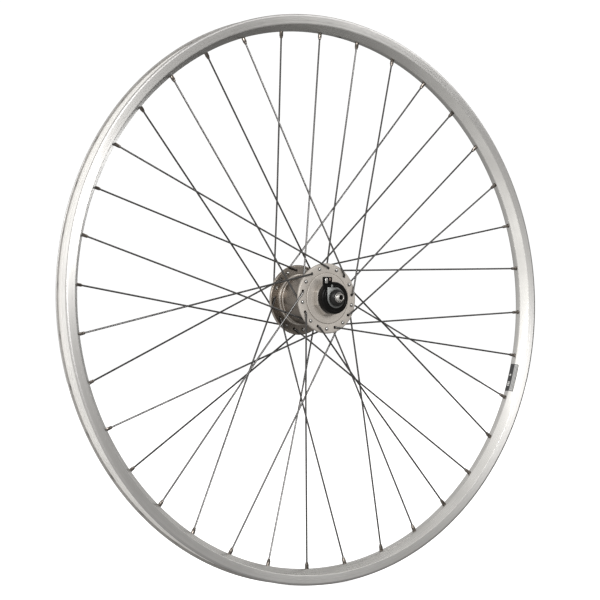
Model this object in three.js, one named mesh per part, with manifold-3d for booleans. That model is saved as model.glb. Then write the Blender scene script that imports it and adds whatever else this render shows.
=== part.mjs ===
// Bicycle front wheel with a hub dynamo: box-section aluminium rim, 36 crossed spokes and a
// large-flange generator hub on a hollow quick-release axle. Millimetres, origin at the wheel
// centre, +Y along the axle towards the bike's left side, +Z up. The electrical connector sits
// on the bike's right side (-Y). The axle group stands still in the fork; the rest turns on it.
import * as THREE from 'three';
import { mergeVertices } from 'three/addons/utils/BufferGeometryUtils.js';
import Module from 'manifold-3d';

const wasm = await Module();
wasm.setup();

// ---- main sizes -------------------------------------------------------------------------
const RIM_R = 317;              // outside radius of the rim walls (ISO 622 seat plus 6 mm)
const RIM_HALF = 11.95;         // half of the overall rim width
const BRAKE_R = 306;            // inner edge of the brake track
const BED_R = 299.3;            // spoke bed, the surface the nipples come out of
const BED_HALF = 3.6;           // half width of the flat spoke bed
const SEAT_R = 310.9;           // tyre bead seat
const WELL_R = 307.6;           // bottom of the well between the seats
const RIM_SEGS = 72;
const RIM_PHASE = 5.77;         // rim facets start here so every nipple sits mid facet, degrees

const SPOKES = 36;
const FIRST_SPOKE = 98.27;      // rim angle of spoke 1, anticlockwise seen from the right side
const SPOKE_STEP = 10;
const SPOKE_R = 1.0;            // plain 2.0 mm spokes
const HOLE_CIRCLE = 33.75;      // radius of the spoke hole circle on both flanges
const CROSS_ANGLE = 60;         // how far round the hub hole sits from the rim hole
const OUTER_RUN = 3.9;          // spoke line to flange middle, spokes lying outside a flange
const INNER_RUN = 3.26;         // the same for spokes lying inside a flange
const CROSS_AT = 0.3313;        // where the third crossing falls along a spoke
const CROSS_HALF = 1.22;        // half the distance between two spoke lines where they cross
const ELBOW = 1.5;              // how far from its corner the spoke elbow starts to bend
const FLANGE_HOLE_R = 1.45;
const NIPPLE_R = 1.95;
const NIPPLE_HOLE_R = 2.35;
const ACCESS_R = 4.0;           // access holes in the well, above every nipple
const VALVE_R = 3.25;
const VALVE_ANGLE = FIRST_SPOKE - 15;

const FLANGE_T = 3.4;           // thickness of both flanges
const RIGHT_FLANGE_Y = -25.05;  // middle planes of the two flanges
const LEFT_FLANGE_Y = 28.93;
const RIGHT_FLANGE_R = 39;
const LEFT_FLANGE_R = 39.5;
const BARREL_R = 27.5;
const OCT_APOTHEM = 18;         // the eight-sided boss on the right cover
const OCT_FACE_Y = -33.6;

const AXLE_R = 4.4;
const AXLE_BORE_R = 2.6;
const AXLE_END = 53.6;
const NUT_FACE = 50;            // the 100 mm fork fit: both locknut faces
const STEM = 4.75;              // bore of everything that slides on the axle
const GAP = 0.3;                // clearance between pieces that touch in use
const RIGHT_BALLS_Y = -29.5;
const LEFT_BALLS_Y = 36.2;
const BALL_PITCH_R = 8.9;
const BALL_R = 2.38;
const BALLS = 9;

const CLAWS = 14;               // claws on each pole plate of the generator
const STATOR_HALF = 17;
const POLE_R = 21.6;

// ---- helpers ----------------------------------------------------------------------------
const rad = (deg) => deg * Math.PI / 180;

// a closed, welded solid from any three.js geometry
function solid(geometry) {
  const g = geometry.index ? geometry.clone() : mergeVertices(geometry.clone());
  g.deleteAttribute('normal');
  g.deleteAttribute('uv');
  const m = mergeVertices(g, 1e-4);
  return new wasm.Manifold(new wasm.Mesh({
    numProp: 3,
    vertProperties: new Float32Array(m.attributes.position.array),
    triVerts: new Uint32Array(m.index.array),
  }));
}

// ring turned about the axle; profile points are [radius, y] and run round the section
function ring(profile, segments, phase = 0) {
  let area = 0;
  profile.forEach(([r0, y0], k) => {
    const [r1, y1] = profile[(k + 1) % profile.length];
    area += r0 * y1 - r1 * y0;
  });
  const loop = area > 0 ? profile.slice() : profile.slice().reverse();
  loop.push(loop[0]);
  const points = loop.map(([r, y]) => new THREE.Vector2(r, y));
  return solid(new THREE.LatheGeometry(points, segments, rad(90 - phase)));
}

// round, or many-sided, bar between two points
function bar(from, to, radius, sides, twist = 0) {
  const dir = to.clone().sub(from);
  const g = new THREE.CylinderGeometry(radius, radius, dir.length(), sides);
  g.rotateY(rad(twist));
  const turn = new THREE.Quaternion().setFromUnitVectors(
    new THREE.Vector3(0, 1, 0), dir.clone().normalize());
  g.applyQuaternion(turn);
  const mid = from.clone().add(to).multiplyScalar(0.5);
  g.translate(mid.x, mid.y, mid.z);
  return solid(g);
}

function box(x0, x1, y0, y1, z0, z1) {
  const g = new THREE.BoxGeometry(x1 - x0, y1 - y0, z1 - z0);
  g.translate((x0 + x1) / 2, (y0 + y1) / 2, (z0 + z1) / 2);
  return solid(g);
}

// plate lying square to the axle, drawn as an [x, z] outline
function plate(outline, y0, y1, holeR = 0) {
  const shape = new THREE.Shape(outline.map(([x, z]) => new THREE.Vector2(x, -z)));
  const g = new THREE.ExtrudeGeometry(shape, { depth: y1 - y0, bevelEnabled: false });
  g.rotateX(-Math.PI / 2);
  g.translate(0, y0, 0);
  const body = solid(g);
  if (!holeR) return body;
  return body.subtract(bar(V(0, y0 - 1, 0), V(0, y1 + 1, 0), holeR, CUP_SEGS));
}

const V = (x, y, z) => new THREE.Vector3(x, y, z);
const onWheel = (r, deg, y) => V(r * Math.cos(rad(deg)), y, r * Math.sin(rad(deg)));

// wire that passes exactly through its corner points
class Wire extends THREE.Curve {
  constructor(points) { super(); this.points = points; }
  getPoint(t) {
    const n = this.points.length - 1;
    const k = Math.min(n - 1, Math.floor(t * n + 1e-9));
    return this.points[k].clone().lerp(this.points[k + 1], t * n - k);
  }
  getPointAt(u) { return this.getPoint(u); }
  getTangentAt(u) {
    const n = this.points.length - 1;
    const k = Math.round(u * n);
    const before = this.points[Math.max(0, k - 1)];
    const after = this.points[Math.min(n, k + 1)];
    const here = this.points[k];
    const a = here.clone().sub(before).normalize();
    const b = after.clone().sub(here).normalize();
    return a.add(b).normalize();
  }
}

const group = new THREE.Group();
function add(name, body, color, roughness, metalness) {
  const mesh = body.getMesh();
  const g = new THREE.BufferGeometry();
  g.setAttribute('position', new THREE.BufferAttribute(new Float32Array(mesh.vertProperties), 3));
  g.setIndex(new THREE.BufferAttribute(new Uint32Array(mesh.triVerts), 1));
  g.computeVertexNormals();
  const node = new THREE.Mesh(g, new THREE.MeshStandardMaterial({ color, roughness, metalness }));
  node.name = name;
  group.add(node);
}

// ---- where every spoke runs ---------------------------------------------------------------
// Even spokes hook into the right flange, odd ones into the left. On each flange they alternate
// between lying outside and inside of it, pulling opposite ways round the hub.
function spokeLine(i) {
  const right = i % 2 === 0;
  const outer = i % 4 === 2 || i % 4 === 1;
  const rimAngle = FIRST_SPOKE + SPOKE_STEP * (i - 1);
  const lead = (i % 4 === 2 || i % 4 === 3) ? -CROSS_ANGLE : CROSS_ANGLE;
  const flangeY = right ? RIGHT_FLANGE_Y : LEFT_FLANGE_Y;
  const out = right ? -1 : 1;
  const side = outer ? out : -out;          // which face of the flange the spoke lies on
  const run = outer ? OUTER_RUN : INNER_RUN;
  const hole = onWheel(HOLE_CIRCLE, rimAngle + lead, flangeY);
  const rimEnd = onWheel(BED_R + 0.5, rimAngle, out * 0.2);
  const along = V(rimEnd.x - hole.x, 0, rimEnd.z - hole.z).normalize();
  const shift = (s, y) => hole.clone().addScaledVector(along, s).add(V(0, side * y, 0));
  const cross = hole.clone().lerp(rimEnd, CROSS_AT).add(V(0, side * CROSS_HALF, 0));
  const end = rimEnd.clone().sub(cross).normalize();
  return {
    right, outer, side, hole, rimEnd, cross, end, rimAngle,
    points: [
      shift(0, -(FLANGE_T / 2 + GAP + 0.4)),
      shift(0, run - ELBOW),
      shift(ELBOW, run),
      cross,
      rimEnd.clone().addScaledVector(end, -4),
    ],
  };
}

// ---- rim ----------------------------------------------------------------------------------
const half = [
  [RIM_R, -11.0], [RIM_R - 1.8, -RIM_HALF], [BRAKE_R, -RIM_HALF], [BED_R, -BED_HALF],
];
const mirror = (pts) => pts.map(([r, y]) => [r, -y]).reverse();
const inside = [[WELL_R, 5.2], [SEAT_R, 7.0], [SEAT_R, 10.2], [RIM_R - 0.5, 9.8]];
const rimSection = [...half, ...mirror(half), ...inside.slice().reverse(),
  ...inside.map(([r, y]) => [r, -y])];
const chamberHalf = [[BED_R + 1.8, -3.0], [BRAKE_R + 0.4, -10.1], [SEAT_R - 1.4, -10.1],
  [WELL_R - 1.4, -5.4]];
const chamber = [...chamberHalf, ...mirror(chamberHalf)];

let rim = ring(rimSection, RIM_SEGS, RIM_PHASE).subtract(ring(chamber, RIM_SEGS, RIM_PHASE));
const drills = [];
for (let i = 1; i <= SPOKES; i++) {
  const s = spokeLine(i);
  const at = s.rimEnd;
  drills.push(bar(at.clone().addScaledVector(s.end, -3), at.clone().addScaledVector(s.end, 3),
    NIPPLE_HOLE_R, 6));
  drills.push(bar(onWheel(WELL_R - 3, s.rimAngle, 0), onWheel(WELL_R + 2, s.rimAngle, 0),
    ACCESS_R, 6));
}
drills.push(bar(onWheel(BED_R - 6, VALVE_ANGLE, 0), onWheel(WELL_R + 3, VALVE_ANGLE, 0),
  VALVE_R, 8));
rim = rim.subtract(wasm.Manifold.union(drills));
add('rim', rim, 0xc4c6c4, 0.34, 0.95);

// printed foil label wrapped from the spoke bed onto the right-hand slope of the rim
const labelSection = [
  [BED_R - 0.62, 3.1], [BED_R - 0.62, -BED_HALF - 0.3], [BED_R + 2.2, -BED_HALF - 3.9],
  [BED_R + 1.93, -BED_HALF - 4.1], [BED_R - 0.95, -BED_HALF - 0.4], [BED_R - 0.95, 3.1],
];
const LABEL_FROM = 339.8;
const LABEL_TO = 346.2;
const labelCut = plate([[0, 0], [330 * Math.cos(rad(LABEL_FROM)), 330 * Math.sin(rad(LABEL_FROM))],
  [330 * Math.cos(rad(LABEL_TO)), 330 * Math.sin(rad(LABEL_TO))]], -12, 12);
add('rim_label', ring(labelSection, RIM_SEGS * 2, RIM_PHASE).intersect(labelCut),
  0xd9d9d5, 0.45, 0.1);

// ---- spokes, each with its nipple -----------------------------------------------------------
const wireSection = new THREE.Shape(Array.from({ length: 5 }, (_, k) =>
  new THREE.Vector2(SPOKE_R * Math.cos(rad(72 * k)), SPOKE_R * Math.sin(rad(72 * k)))));
const nippleSection = [[0, -8], [NIPPLE_R, -7.7], [NIPPLE_R, 2.0], [2.9, 2.8], [2.9, 4.3],
  [0, 4.3]];

for (let i = 1; i <= SPOKES; i++) {
  const s = spokeLine(i);
  const wire = new THREE.ExtrudeGeometry(wireSection, {
    steps: s.points.length - 1, extrudePath: new Wire(s.points), bevelEnabled: false });
  const head = new THREE.CylinderGeometry(s.side > 0 ? 1.2 : 2.0, s.side > 0 ? 2.0 : 1.2, 0.9, 5);
  // the flat of the head faces away from the flange, its cone points into the hole
  const headMid = s.hole.clone().add(V(0, -s.side * (FLANGE_T / 2 + GAP + 0.45), 0));
  head.translate(headMid.x, headMid.y, headMid.z);
  const nipple = new THREE.LatheGeometry(nippleSection.map(([r, y]) => new THREE.Vector2(r, y)), 6);
  nipple.applyQuaternion(new THREE.Quaternion().setFromUnitVectors(V(0, 1, 0), s.end));
  nipple.translate(s.rimEnd.x, s.rimEnd.y, s.rimEnd.z);
  const body = solid(wire).add(solid(head)).add(solid(nipple));
  add(`spoke_${String(i).padStart(2, '0')}`, body, 0xb9bbbb, 0.25, 0.95);
}

// ---- hub shell, cover and their bearing cups -------------------------------------------------
function flangeHoles(right) {
  const y = right ? RIGHT_FLANGE_Y : LEFT_FLANGE_Y;
  const cuts = [];
  for (let i = right ? 2 : 1; i <= SPOKES; i += 2) {
    const { hole } = spokeLine(i);
    cuts.push(bar(V(hole.x, y - 3, hole.z), V(hole.x, y + 3, hole.z), FLANGE_HOLE_R, 6));
  }
  return wasm.Manifold.union(cuts);
}
// rounded edge of a flange disc, from the face at y0 to the face at y1
const flangeEdge = (r, y0, y1) => {
  const s = Math.sign(y1 - y0);
  return [[r - 1.2, y0], [r, y0 + s * 1.0], [r, y1 - s * 1.0], [r - 1.2, y1]];
};
const SHELL_SEGS = 28;
const leftIn = LEFT_FLANGE_Y - FLANGE_T / 2;
const leftOut = LEFT_FLANGE_Y + FLANGE_T / 2;
const rightIn = RIGHT_FLANGE_Y + FLANGE_T / 2;
const rightOut = RIGHT_FLANGE_Y - FLANGE_T / 2;

const shell = ring([
  [25.6, rightIn + GAP], [BARREL_R, rightIn + GAP], [BARREL_R, 19.3],
  [28.3, 19.6], [28.3, 20.8], [BARREL_R, 21.1], [BARREL_R, 24.4], [28.8, 24.8], [28.8, leftIn],
  ...flangeEdge(LEFT_FLANGE_R, leftIn, leftOut),
  [31, leftOut], [17.0, 34.0], [16.6, 40.0], [13.6, 40.0],
  [13.6, 31.6], [12.0, 31.6], [12.0, 30.0], [25.6, 27.0],
], SHELL_SEGS).subtract(flangeHoles(false));
add('hub_shell', shell, 0x85807a, 0.42, 0.85);

let cover = ring([
  [13.6, -27.0], [19.0, -27.0], [27.8, -27.4], [27.8, -26.2], [28.4, -26.2],
  [28.4, rightOut], ...flangeEdge(RIGHT_FLANGE_R, rightOut, rightIn),
  [25.3, rightIn], [25.3, -19.5], [23.9, -19.5], [23.9, rightIn], [12.0, rightIn],
  [12.0, -24.9], [13.6, -24.9],
], SHELL_SEGS);
const octagon = bar(V(0, OCT_FACE_Y, 0), V(0, -26.4, 0),
  OCT_APOTHEM / Math.cos(Math.PI / 8), 8, 22.5)
  .subtract(bar(V(0, OCT_FACE_Y - 1, 0), V(0, -25, 0), 13.6, SHELL_SEGS, 5));
cover = cover.add(octagon).subtract(flangeHoles(true));
add('right_cover', cover, 0xbdb8b0, 0.5, 0.6);

add('magnet_ring', ring([[22.3, -19.1], [25.2, -19.1], [25.2, 19.5], [22.3, 19.5]], SHELL_SEGS),
  0x3c3d40, 0.6, 0.3);

const CUP_SEGS = 16;
function bearing(label, ballsY, out, tail) {
  const at = (pts) => pts.map(([r, d]) => [r, ballsY + out * d]);
  // hardened cup pressed into the shell, open towards the outside
  add(`${label}_bearing_cup`, ring(at([[13.2, 3.1], [11.85, 3.1], [11.85, -0.4], [10.0, -3.1],
    [8.2, -3.1], [8.2, -4.3], [13.2, -4.3]]), CUP_SEGS), 0x9a9c9e, 0.3, 0.9);
  // cone on the axle, with the sleeve that reaches in to the generator
  const inner = (-out * ballsY + STATOR_HALF + GAP);
  add(`${label}_cone`, ring(at([[STEM, tail], [8.3, tail], [8.3, 2.95], [7.1, 2.3],
    [6.0, 0.8], [6.0, inner], [STEM, inner]]), CUP_SEGS), 0xa6a8aa, 0.28, 0.9);
  // ball ring: nine balls held in one retainer
  let cage = ring(at([[8.2, -0.6], [9.6, -0.6], [9.6, 0.6], [8.2, 0.6]]), 18);
  for (let k = 0; k < BALLS; k++) {
    const ball = new THREE.SphereGeometry(BALL_R, 6, 3);
    const c = onWheel(BALL_PITCH_R, k * 360 / BALLS, ballsY);
    ball.translate(c.x, c.y, c.z);
    cage = cage.add(solid(ball));
  }
  add(`${label}_ball_ring`, cage, 0xc9cbcd, 0.15, 1.0);
}
bearing('right', RIGHT_BALLS_Y, -1, 4.3);
bearing('left', LEFT_BALLS_Y, 1, 7.8);

add('right_dust_seal', ring([[8.9, -33.4], [13.15, -33.4], [13.15, -32.9], [8.9, -32.9]],
  CUP_SEGS), 0x202022, 0.7, 0.0);
add('left_dust_cap', ring([[8.9, 40.4], [8.9, 41.4], [15.4, 41.4], [16.2, 40.9], [16.2, 40.3],
  [13.1, 40.3], [13.1, 39.6], [12.5, 39.6], [12.5, 40.4]], CUP_SEGS), 0x1d1d1f, 0.6, 0.0);

// ---- axle and everything that stands still with it ---------------------------------------------
add('axle', ring([
  [AXLE_BORE_R, -AXLE_END], [AXLE_R - 0.6, -AXLE_END], [AXLE_R, -AXLE_END + 0.7],
  [AXLE_R, AXLE_END - 0.7], [AXLE_R - 0.6, AXLE_END], [AXLE_BORE_R, AXLE_END],
], CUP_SEGS), 0xc8cacb, 0.25, 1.0);

add('coil_bobbin', ring([
  [STEM, -13.4], [18.6, -13.4], [18.6, -12.4], [8.0, -12.4], [8.0, 12.4], [18.6, 12.4],
  [18.6, 13.4], [STEM, 13.4],
], CUP_SEGS), 0x2b2b2d, 0.6, 0.0);
add('coil_winding', ring([[8.4, -12.1], [18.2, -12.1], [18.2, 12.1], [8.4, 12.1]], CUP_SEGS),
  0xa5602c, 0.4, 0.8);

// pole plates: claws reach over the winding from either side and interleave without touching
function clawPole(name, side, phase) {
  let body = ring([[STEM, side * STATOR_HALF], [POLE_R, side * STATOR_HALF],
    [POLE_R, side * 14], [STEM, side * 14]], 28, phase - 180 / 28);
  const claws = [];
  for (let k = 0; k < CLAWS; k++) {
    const claw = new THREE.BoxGeometry(1.8, 27.4, 3.2);
    claw.translate(POLE_R - 1.15, side * (14.2 - 13.7), 0);
    claw.rotateY(-rad(phase + k * 360 / CLAWS));
    claws.push(solid(claw));
  }
  body = body.add(wasm.Manifold.union(claws));
  add(name, body, 0x7d7f82, 0.45, 0.85);
}
clawPole('right_claw_pole', -1, 0);
clawPole('left_claw_pole', 1, 180 / CLAWS);

// connector moulding: round cap on the axle with a two-way terminal block on its top left
const PLATE_SEAT = -41.0;
let connector = ring([
  [STEM, -34.1], [16.4, -34.1], [17.5, -35.0], [17.5, -39.6], [16.7, -40.6], [13.4, PLATE_SEAT],
  [STEM, PLATE_SEAT],
], 24);
connector = connector.add(box(-13.9, -2.9, -41.5, -36.2, 12.0, 23.4))
  .subtract(box(-12.7, -8.5, -42, -38.2, 14.8, 22.3))
  .subtract(box(-7.0, -4.1, -42, -38.6, 18.6, 22.3));
add('connector_body', connector, 0x151516, 0.42, 0.0);
const pinOutline = [[-12.3, 15.2], [-8.9, 15.2], [-8.9, 20.6], [-9.5, 21.7], [-10.6, 22.0],
  [-11.7, 21.7], [-12.3, 20.6]];
add('live_terminal', plate(pinOutline, -41.0, -38.6), 0xd6d6d2, 0.25, 1.0);
add('earth_terminal', box(-6.6, -4.5, -41.0, -39.0, 19.0, 21.9), 0x8f7a66, 0.4, 0.9);

// keyed lock plate: round washer with one square corner and a tab into the terminal block
const lockOutline = [];
for (let a = 180; a <= 450; a += 15) {
  lockOutline.push([11.4 * Math.cos(rad(a)), 11.4 * Math.sin(rad(a))]);
}
lockOutline.push([-2.0, 11.4], [-2.0, 11.9], [-5.2, 11.9], [-5.2, 11.4], [-10.6, 11.4],
  [-11.4, 10.6]);
add('lock_plate', plate(lockOutline, -42.4, PLATE_SEAT - GAP, STEM), 0x8a8c8d, 0.4, 0.9);

add('right_locknut', ring([
  [STEM, -42.7], [9.3, -42.7], [9.3, -46.0], [8.7, -46.6], [7.7, -46.8], [7.4, -49.5],
  [6.9, -NUT_FACE], [STEM, -NUT_FACE],
], CUP_SEGS), 0x19191a, 0.4, 0.5);

const leftNut = bar(V(0, 44.3, 0), V(0, 48.4, 0), 9.8, 6)
  .add(ring([[1, 44.3], [8.4, 44.3], [8.4, 49.5], [7.9, NUT_FACE], [1, NUT_FACE]], CUP_SEGS))
  .subtract(bar(V(0, 40, 0), V(0, 60, 0), STEM, CUP_SEGS));
add('left_locknut', leftNut, 0xb4b6b8, 0.3, 0.9);

export default group;
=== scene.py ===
# Bicycle front wheel with a hub dynamo. Sizes are in millimetres and turned to metres when a mesh
# is made. The axle runs along Y, the connector side faces -Y, Z is up.
import math
from collections import namedtuple

import bmesh
import bpy
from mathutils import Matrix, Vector


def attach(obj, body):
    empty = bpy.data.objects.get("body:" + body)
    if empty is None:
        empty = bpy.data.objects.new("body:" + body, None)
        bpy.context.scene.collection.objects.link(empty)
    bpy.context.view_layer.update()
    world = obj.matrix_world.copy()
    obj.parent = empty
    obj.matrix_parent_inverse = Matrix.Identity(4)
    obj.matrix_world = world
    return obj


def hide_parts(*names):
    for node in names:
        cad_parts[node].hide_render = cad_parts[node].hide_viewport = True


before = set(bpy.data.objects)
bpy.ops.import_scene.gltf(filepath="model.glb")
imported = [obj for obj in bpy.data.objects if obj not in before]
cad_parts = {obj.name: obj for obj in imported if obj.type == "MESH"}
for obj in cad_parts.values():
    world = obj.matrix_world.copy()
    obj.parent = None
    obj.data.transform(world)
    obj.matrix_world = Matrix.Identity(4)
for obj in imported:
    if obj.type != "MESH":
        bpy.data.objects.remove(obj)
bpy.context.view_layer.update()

MM = 0.001
TAU = 2 * math.pi

# ---- sizes shared with the frame ------------------------------------------------------------
# Rim: radii from the axle, widths along it, angles in degrees from +X towards +Z.
RIM_R = 317.0
RIM_HALF = 11.95
BED_R = 299.3
WELL_R = 307.6
SEAT_R = 310.9
NIPPLE_HOLE_R = 2.4
KEY_HOLE_R = 4.0
VALVE_HOLE_R = 3.25
LABEL_MIDDLE = 343.0
LABEL_SPAN = 6.4

# Spokes: outer ones run outside their flange for OUTER_RUN, inner ones inside for INNER_RUN, and
# they pass each other CROSS_AT of the way to the rim, CROSS_HALF to either side.
SPOKES = 36
FIRST_SPOKE = 98.27
SPOKE_STEP = 10.0
VALVE_ANGLE = FIRST_SPOKE - 15
CROSS_ANGLE = 60.0
OUTER_RUN = 3.9
INNER_RUN = 3.26
CROSS_AT = 0.3313
CROSS_HALF = 1.22
WIRE_R = 1.0

# Hub flanges. The holes sit FLANGE_HOLE_SHIFT away from the rim side of the wire.
HOLE_CIRCLE = 33.75
FLANGE_HOLE_R = 1.65
FLANGE_HOLE_SHIFT = 0.5
FLANGE_T = 3.4
RIGHT_FLANGE_Y = -25.05
LEFT_FLANGE_Y = 28.93
OCT_APOTHEM = 18.0

# Axle and bearings. STEM is the bore of everything that sits on the axle, and the cones reach in
# to CONE_END from the middle of the hub.
AXLE_R = 4.4
AXLE_BORE_R = 2.6
AXLE_END = 53.6
STEM = 4.75
RIGHT_BALLS_Y = -29.5
LEFT_BALLS_Y = 36.2
BALL_PITCH_R = 8.9
BALL_R = 2.38
BALLS = 9
CONE_END = 17.3

# Meshing: edges sharper than these angles, in degrees, stay hard or get a bevel.
SHARP_ABOVE = 32
BEVEL_ABOVE = 35
MERGE_M = 1e-7


# ---- mesh helpers ---------------------------------------------------------------------------
def on_wheel(radius, degrees, y):
    """Point at that radius and rim angle, at height y along the axle."""
    a = math.radians(degrees)
    return Vector((radius * math.cos(a), y, radius * math.sin(a)))


def fillet(corners, steps=5, closed=True):
    """Rounds a line of corners. A corner is (point, size), size being how far back it starts."""
    most = 0.49
    points = [Vector(p) for p, _ in corners]
    sizes = [s for _, s in corners]
    out = []
    n = len(points)
    for k, (p, size) in enumerate(zip(points, sizes)):
        ends = not closed and k in (0, n - 1)
        if ends or size <= 0:
            out.append(p)
            continue
        before = points[k - 1] - p
        after = points[(k + 1) % n] - p
        a = p + before.normalized() * min(size, before.length * most)
        b = p + after.normalized() * min(size, after.length * most)
        for s in range(steps + 1):
            t = s / steps
            out.append(a * (1 - t) ** 2 + p * (2 * t * (1 - t)) + b * t * t)
    return out


def build(name, verts, faces, sharp=SHARP_ABOVE):
    """A closed mesh object from points in millimetres, smooth apart from its real edges."""
    mesh = bpy.data.meshes.new(name)
    mesh.from_pydata([tuple(c * MM for c in v) for v in verts], [], faces)
    bm = bmesh.new()
    bm.from_mesh(mesh)
    bmesh.ops.remove_doubles(bm, verts=bm.verts, dist=MERGE_M)
    bmesh.ops.dissolve_degenerate(bm, edges=bm.edges, dist=MERGE_M)
    bmesh.ops.recalc_face_normals(bm, faces=bm.faces)
    bm.to_mesh(mesh)
    bm.free()
    obj = bpy.data.objects.new(name, mesh)
    bpy.context.scene.collection.objects.link(obj)
    soften(obj, sharp)
    return obj


def soften(obj, sharp=SHARP_ABOVE):
    """Smooth shading that keeps real edges hard."""
    obj.data.shade_smooth()
    obj.data.set_sharp_from_angle(angle=math.radians(sharp))


def lathe(name, section, segments=96, sharp=SHARP_ABOVE):
    """Turns a closed section of (radius, y) points about the axle."""
    n = len(section)
    verts = []
    faces = []
    for s in range(segments):
        a = TAU * s / segments
        verts += [(p[0] * math.cos(a), p[1], p[0] * math.sin(a)) for p in section]
        t = (s + 1) % segments
        for k in range(n):
            m = (k + 1) % n
            faces.append((s * n + k, s * n + m, t * n + m, t * n + k))
    return build(name, verts, faces, sharp)


def turned(name, corners, segments=96, steps=4, sharp=SHARP_ABOVE):
    """Lathe with rounded corners: corners are (radius, y) or (radius, y, rounding)."""
    pairs = [((c[0], c[1]), c[2] if len(c) > 2 else 0.0) for c in corners]
    return lathe(name, fillet(pairs, steps), segments, sharp=sharp)


def tube(name, rings, sides=14, flats=None):
    """Skin over (centre, direction, radius) rings. flats gives some rings a square half width."""
    flats = flats or {}
    side = Vector((0, 1, 0)).cross(rings[-1][1])
    side = side.normalized() if side.length > 1e-6 else Vector((1, 0, 0))
    direction = rings[-1][1]
    frames = []
    for _, d, _ in reversed(rings):
        side = direction.rotation_difference(d) @ side
        side = (side - d * side.dot(d)).normalized()
        direction = d
        frames.append(side.copy())
    frames.reverse()
    verts = []
    for k, (centre, d, radius) in enumerate(rings):
        u, v = frames[k], d.cross(frames[k])
        for s in range(sides):
            a = TAU * s / sides
            c, w = math.cos(a), math.sin(a)
            r = radius
            if k in flats:
                r = min(radius, flats[k] / max(abs(c), abs(w)))
            verts.append(centre + u * (c * r) + v * (w * r))
    faces = []
    for k in range(len(rings) - 1):
        for s in range(sides):
            t = (s + 1) % sides
            faces.append((k * sides + s, k * sides + t, (k + 1) * sides + t, (k + 1) * sides + s))
    faces.append(tuple(range(sides)))
    faces.append(tuple(reversed(range((len(rings) - 1) * sides, len(rings) * sides))))
    return build(name, verts, faces, sharp=40)


def slab(name, outline, y0, y1, bevel=0.0, steps=2):
    """Flat piece square to the axle from an (x, z) outline, with its edges broken by bevel."""
    n = len(outline)
    verts = [(p[0], y0, p[1]) for p in outline] + [(p[0], y1, p[1]) for p in outline]
    faces = [tuple(range(n)), tuple(reversed(range(n, 2 * n)))]
    faces += [(k, (k + 1) % n, n + (k + 1) % n, n + k) for k in range(n)]
    obj = build(name, verts, faces)
    return bevelled(obj, bevel, steps) if bevel else obj


def bevelled(obj, width, steps=2):
    """Breaks the hard edges by width, in millimetres."""
    edge = obj.modifiers.new("edges", "BEVEL")
    edge.width = width * MM
    edge.segments = steps
    edge.limit_method = "ANGLE"
    edge.angle_limit = math.radians(BEVEL_ABOVE)
    return applied(obj)


def applied(obj, sharp=SHARP_ABOVE):
    """Turns the modifiers into mesh."""
    shape = obj.evaluated_get(bpy.context.evaluated_depsgraph_get())
    mesh = bpy.data.meshes.new_from_object(shape)
    obj.modifiers.clear()
    old = obj.data
    obj.data = mesh
    bpy.data.meshes.remove(old)
    mesh.name = obj.name
    soften(obj, sharp)
    return obj


def combine(obj, tool, operation):
    """Joins to or cuts obj by tool, which is used up."""
    step = obj.modifiers.new("combine", "BOOLEAN")
    step.operation = operation
    step.solver = "EXACT"
    step.object = tool
    applied(obj)
    bpy.data.objects.remove(tool)
    return obj


def drills(name, holes, sides=20):
    """Round cutters in one mesh. A hole is (start, end, radius)."""
    verts, faces = [], []
    for start, end, radius in holes:
        d = (end - start).normalized()
        u = d.orthogonal().normalized()
        v = d.cross(u)
        base = len(verts)
        for centre in (start, end):
            for s in range(sides):
                a = TAU * s / sides
                verts.append(centre + (u * math.cos(a) + v * math.sin(a)) * radius)
        faces.append(tuple(base + s for s in range(sides)))
        faces.append(tuple(base + sides + s for s in reversed(range(sides))))
        for s in range(sides):
            t = (s + 1) % sides
            faces.append((base + s, base + t, base + sides + t, base + sides + s))
    return build(name, verts, faces)


def face_place(face):
    """Distance from the axle and place along it of a face's middle, in millimetres."""
    x, y, z = (c / MM for c in face.center)
    return math.hypot(x, z), y


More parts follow.
